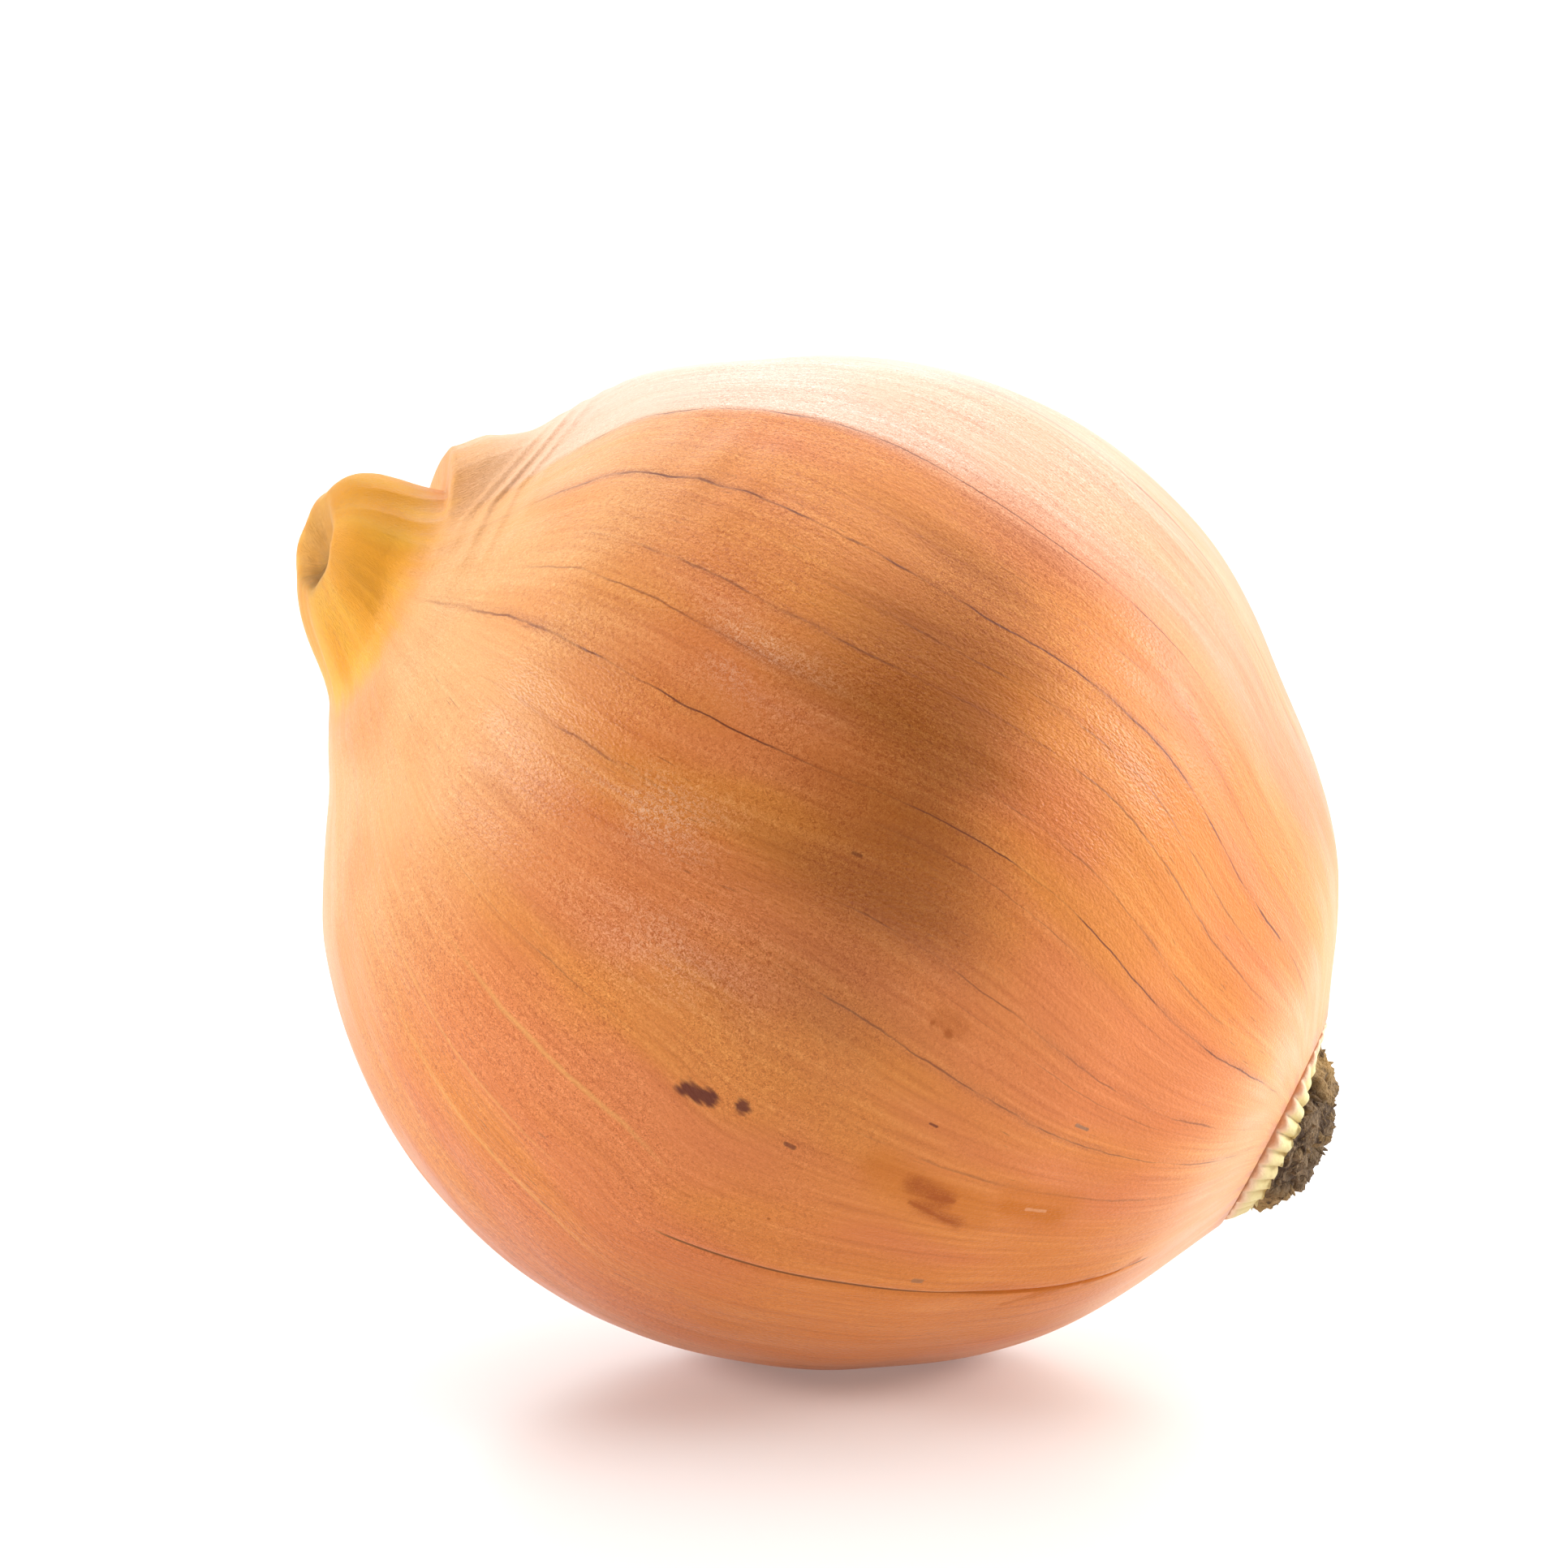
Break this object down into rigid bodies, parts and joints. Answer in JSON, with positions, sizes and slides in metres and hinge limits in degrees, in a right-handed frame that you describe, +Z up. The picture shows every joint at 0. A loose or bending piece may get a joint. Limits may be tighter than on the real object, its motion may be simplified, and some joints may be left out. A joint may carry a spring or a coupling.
{
  "type": "onion",
  "caption": "Whole brown onion in its dry papery skin, lying on its side, with a withered neck, a raised fold of skin beside it and a knobbly root plate.",
  "frame": {"origin": "middle of the small flat spot that the bulb rests on", "axes": "+Z up from the surface it lies on; the bulb's axis lies in the XZ plane, with the root plate towards +X and low and the neck towards -X, raised 30.5 degrees; -Y is the front, with the split in the skin"},
  "size_m": [0.0829, 0.08, 0.0792],
  "materials": {
    "papery_skin": "satin, thin and dry, orange-brown with fine lengthwise veins, paler and yellower towards the neck",
    "dry_root": "matt and fibrous, pale straw at the ring of knobs and grey-brown on the crust"
  },
  "bodies": {
    "root": {"bulb": "papery_skin", "root_plate": "dry_root"}
  },
  "joints": []
}
